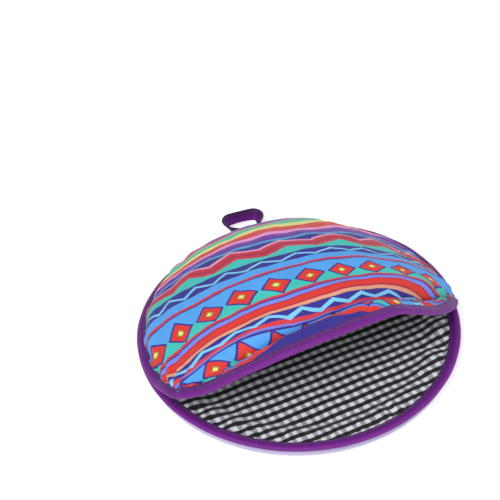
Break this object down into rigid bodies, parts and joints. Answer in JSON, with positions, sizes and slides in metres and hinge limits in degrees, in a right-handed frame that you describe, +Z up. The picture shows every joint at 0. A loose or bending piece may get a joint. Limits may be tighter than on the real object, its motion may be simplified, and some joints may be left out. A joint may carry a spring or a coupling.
{
  "type": "tortilla warmer",
  "caption": "Round quilted cloth pouch with a padded hood that lifts at the mouth, a checked lining, bound edges and a hanging loop",
  "frame": {"origin": "centre of the flat face that the lower panel rests on", "axes": "+Z up, the mouth opens towards -Y, the hanging loop is at the +Y side, X runs from mouth corner to mouth corner"},
  "size_m": [0.3038, 0.3211, 0.1069],
  "materials": {
    "lower_outer_cloth": "plain weave polyester, slight sheen",
    "lower_wadding": "needled polyester wadding",
    "lower_lining": "woven black and white gingham",
    "lower_binding": "folded bias tape, topstitched",
    "upper_back_cloth": "printed cloth with stripes and diamonds",
    "upper_back_wadding": "needled polyester wadding",
    "upper_back_lining": "woven black and white gingham",
    "upper_back_binding": "folded bias tape, topstitched",
    "fold_band_cloth": "printed cloth with stripes and diamonds",
    "fold_band_wadding": "needled polyester wadding",
    "fold_band_lining": "woven black and white gingham",
    "flap_cloth": "printed cloth with stripes and diamonds",
    "flap_wadding": "needled polyester wadding",
    "flap_lining": "woven black and white gingham",
    "flap_binding": "folded bias tape, topstitched",
    "hanging_loop": "folded bias tape, topstitched",
    "loop_roots": "folded bias tape, topstitched"
  },
  "bodies": {
    "root": {"lower_outer_cloth": "lower_outer_cloth", "lower_wadding": "lower_wadding", "lower_lining": "lower_lining", "lower_binding": "lower_binding", "upper_back_cloth": "upper_back_cloth", "upper_back_wadding": "upper_back_wadding", "upper_back_lining": "upper_back_lining", "upper_back_binding": "upper_back_binding", "fold_band_cloth": "fold_band_cloth", "fold_band_wadding": "fold_band_wadding", "fold_band_lining": "fold_band_lining", "loop_roots": "loop_roots"},
    "flap": {"flap_cloth": "flap_cloth", "flap_wadding": "flap_wadding", "flap_lining": "flap_lining", "flap_binding": "flap_binding"},
    "loop": {"hanging_loop": "hanging_loop"}
  },
  "joints": [
    {"name": "mouth_flap", "type": "hinge", "parent": "root", "child": "flap", "pos_m": [0, -0.05212, 0.0211], "axis": [1, 0, 0], "range_deg": [-20, 45], "deforming": ["fold_band_cloth", "fold_band_wadding", "fold_band_lining"]},
    {"name": "loop_swing", "type": "hinge", "parent": "root", "child": "loop", "pos_m": [0.01816, 0.14786, 0.00999], "axis": [0.9925, -0.1219, 0], "range_deg": [-10, 70], "stiffness_Nm_per_rad": 0.02, "deforming": ["loop_roots"]}
  ]
}
